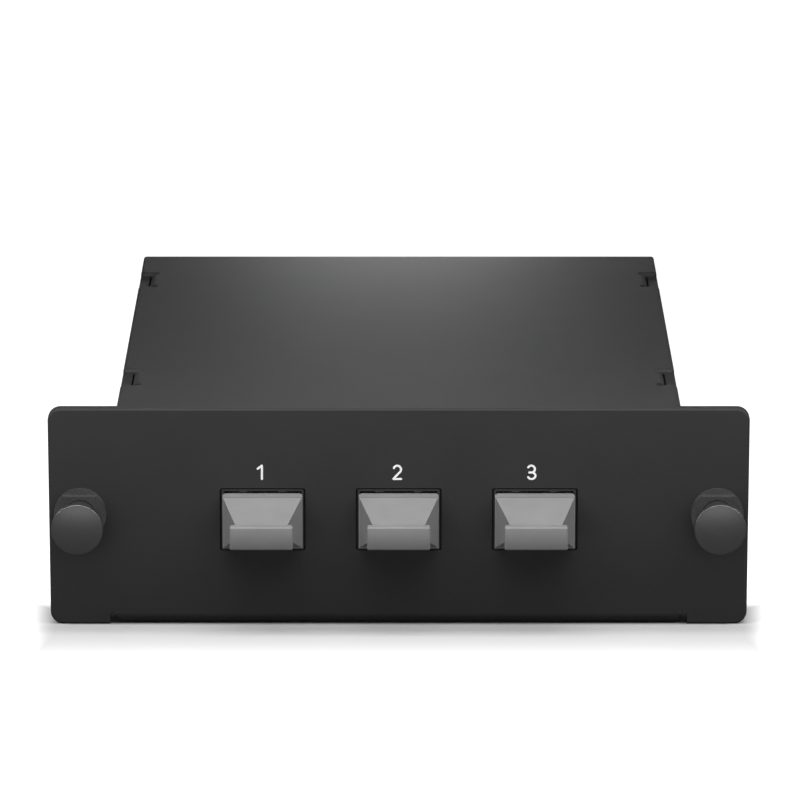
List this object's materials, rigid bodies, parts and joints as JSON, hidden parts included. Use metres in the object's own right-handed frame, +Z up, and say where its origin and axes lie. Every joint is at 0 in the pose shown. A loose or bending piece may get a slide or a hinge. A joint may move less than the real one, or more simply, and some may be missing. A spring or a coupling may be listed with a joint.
{
  "type": "multi-fibre conversion cassette",
  "caption": "Flat black sheet-metal fibre cassette with capped multi-fibre ports in a rounded front panel and a push-pull latch at each end.",
  "frame": {"origin": "centre of the tray's underside, in the plane that the cassette stands on", "axes": "+X to the right as the front panel is read, +Y to the rear through the depth of the cassette, +Z up"},
  "size_m": [0.109, 0.1214, 0.035],
  "materials": {
    "tray_paint": "black matt powder coat",
    "lid_paint": "black matt powder coat",
    "cap_plastic": "grey moulded, fine satin",
    "adapter_plastic": "black moulded, satin",
    "plug_plastic": "aqua moulded",
    "boot_rubber": "black soft moulding",
    "ferrule_plastic": "dark glass-filled moulding, lapped face",
    "pin_steel": "ground",
    "screw_steel": "zinc plated",
    "bracket_zinc": "zinc plated sheet",
    "fibre_jacket": "aqua jacket",
    "clip_plastic": "natural nylon",
    "grommet_plastic": "black nylon, semi-gloss",
    "knob_plastic": "black nylon, gloss"
  },
  "bodies": {
    "cassette": {"base_tray": "tray_paint", "coil_clip_front": "clip_plastic", "coil_clip_left": "clip_plastic", "coil_clip_rear": "clip_plastic", "coil_clip_right": "clip_plastic", "front_adapter_1": "adapter_plastic", "front_adapter_2": "adapter_plastic", "front_adapter_3": "adapter_plastic", "front_bracket": "bracket_zinc", "front_bracket_screws": "screw_steel", "front_ferrule_1": "ferrule_plastic", "front_ferrule_2": "ferrule_plastic", "front_ferrule_3": "ferrule_plastic", "front_guide_pins_1": "pin_steel", "front_guide_pins_2": "pin_steel", "front_guide_pins_3": "pin_steel", "front_inner_plug_1": "plug_plastic", "front_inner_plug_2": "plug_plastic", "front_inner_plug_3": "plug_plastic", "front_lead_1": "fibre_jacket", "front_lead_2": "fibre_jacket", "front_lead_3": "fibre_jacket", "front_plug_boot_1": "boot_rubber", "front_plug_boot_2": "boot_rubber", "front_plug_boot_3": "boot_rubber", "latch_grommet_left": "grommet_plastic", "latch_grommet_right": "grommet_plastic", "lid": "lid_paint", "lid_screws": "screw_steel", "rear_adapter_1": "adapter_plastic", "rear_adapter_2": "adapter_plastic", "rear_bracket": "bracket_zinc", "rear_bracket_screws": "screw_steel", "rear_ferrule_1": "ferrule_plastic", "rear_ferrule_2": "ferrule_plastic", "rear_guide_pins_1": "pin_steel", "rear_guide_pins_2": "pin_steel", "rear_inner_plug_1": "plug_plastic", "rear_inner_plug_2": "plug_plastic", "rear_lead_1": "fibre_jacket", "rear_lead_2": "fibre_jacket", "rear_plug_boot_1": "boot_rubber", "rear_plug_boot_2": "boot_rubber", "storage_coil": "fibre_jacket"},
    "front_cap_body_1": {"front_dust_cap_1": "cap_plastic"},
    "front_cap_body_2": {"front_dust_cap_2": "cap_plastic"},
    "front_cap_body_3": {"front_dust_cap_3": "cap_plastic"},
    "rear_cap_body_1": {"rear_dust_cap_1": "cap_plastic"},
    "rear_cap_body_2": {"rear_dust_cap_2": "cap_plastic"},
    "plunger_left": {"latch_plunger_left": "knob_plastic"},
    "plunger_right": {"latch_plunger_right": "knob_plastic"}
  },
  "joints": [
    {"name": "front_cap_1_pull", "type": "slide", "parent": "cassette", "child": "front_cap_body_1", "axis": [0, -1, 0], "range_m": [0, 0.008]},
    {"name": "front_cap_2_pull", "type": "slide", "parent": "cassette", "child": "front_cap_body_2", "axis": [0, -1, 0], "range_m": [0, 0.008]},
    {"name": "front_cap_3_pull", "type": "slide", "parent": "cassette", "child": "front_cap_body_3", "axis": [0, -1, 0], "range_m": [0, 0.008]},
    {"name": "rear_cap_1_pull", "type": "slide", "parent": "cassette", "child": "rear_cap_body_1", "axis": [0, 1, 0], "range_m": [0, 0.008]},
    {"name": "rear_cap_2_pull", "type": "slide", "parent": "cassette", "child": "rear_cap_body_2", "axis": [0, 1, 0], "range_m": [0, 0.008]},
    {"name": "plunger_left_push", "type": "slide", "parent": "cassette", "child": "plunger_left", "axis": [0, 1, 0], "range_m": [0, 0.0059]},
    {"name": "plunger_right_push", "type": "slide", "parent": "cassette", "child": "plunger_right", "axis": [0, 1, 0], "range_m": [0, 0.0059]}
  ]
}
